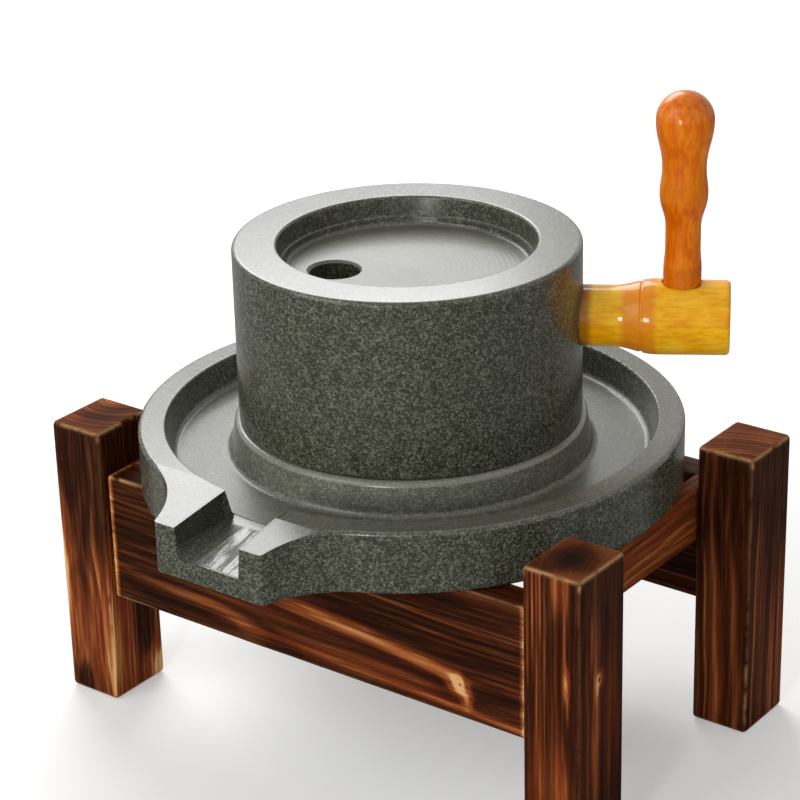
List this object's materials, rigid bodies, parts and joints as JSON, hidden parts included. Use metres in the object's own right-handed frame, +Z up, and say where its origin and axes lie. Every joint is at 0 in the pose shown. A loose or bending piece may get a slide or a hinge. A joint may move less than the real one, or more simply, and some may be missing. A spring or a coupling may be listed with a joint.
{
  "type": "hand stone mill",
  "caption": "Hand-turned stone mill for powdered tea: round turning stone with hopper, feed hole and cranked wooden handle, on a spouted stone tray that rests in a charred wooden stand.",
  "frame": {"origin": "centre of the bounding box's underside, on the ground under the mill; the turning axis stands 12.8 mm behind it (+Y) and 3.5 mm to its left (-X)", "axes": "+X along the stand's long side, spout towards -Y, +Z up along the turning axis"},
  "size_m": [0.3738, 0.3444, 0.384],
  "materials": {
    "top_granite": "polished speckled granite",
    "bed_granite": "polished speckled granite, honed on the tray floor",
    "charred_pine": "charred and brushed, satin",
    "arm_wood": "gloss lacquer",
    "grip_wood": "gloss lacquer",
    "plain_dowel": "raw",
    "steel": "turned",
    "brass": "turned"
  },
  "bodies": {
    "stand": {"post_front_left": "charred_pine", "rail_dowels_front_left": "plain_dowel", "bearer_screws_front_left": "steel", "post_front_right": "charred_pine", "rail_dowels_front_right": "plain_dowel", "bearer_screws_front_right": "steel", "post_rear_left": "charred_pine", "rail_dowels_rear_left": "plain_dowel", "bearer_screws_rear_left": "steel", "post_rear_right": "charred_pine", "rail_dowels_rear_right": "plain_dowel", "bearer_screws_rear_right": "steel", "rail_front": "charred_pine", "rail_rear": "charred_pine", "tray_bearer_left": "charred_pine", "tray_bearer_right": "charred_pine"},
    "mill_base": {"tray_bedstone": "bed_granite", "centre_pin": "steel"},
    "spin_washer": {"thrust_washer": "brass"},
    "turning_stone": {"upper_stone": "top_granite", "pin_bush": "brass", "handle_arm": "arm_wood", "grip_washer": "steel"},
    "hand_grip": {"grip": "grip_wood", "grip_screw": "steel"}
  },
  "joints": [
    {"name": "mill_lift", "type": "slide", "parent": "stand", "child": "mill_base", "axis": [0, 0, 1], "range_m": [0, 0.06]},
    {"name": "stone_spin", "type": "hinge", "parent": "mill_base", "child": "spin_washer", "pos_m": [-0.0035, 0.0128, 0.1901], "axis": [0, 0, 1], "continuous": true},
    {"name": "stone_lift", "type": "slide", "parent": "spin_washer", "child": "turning_stone", "axis": [0, 0, 1], "range_m": [0, 0.08]},
    {"name": "grip_spin", "type": "hinge", "parent": "turning_stone", "child": "hand_grip", "pos_m": [0.1316, 0.0908, 0.2709], "axis": [0, 0, 1], "continuous": true}
  ]
}
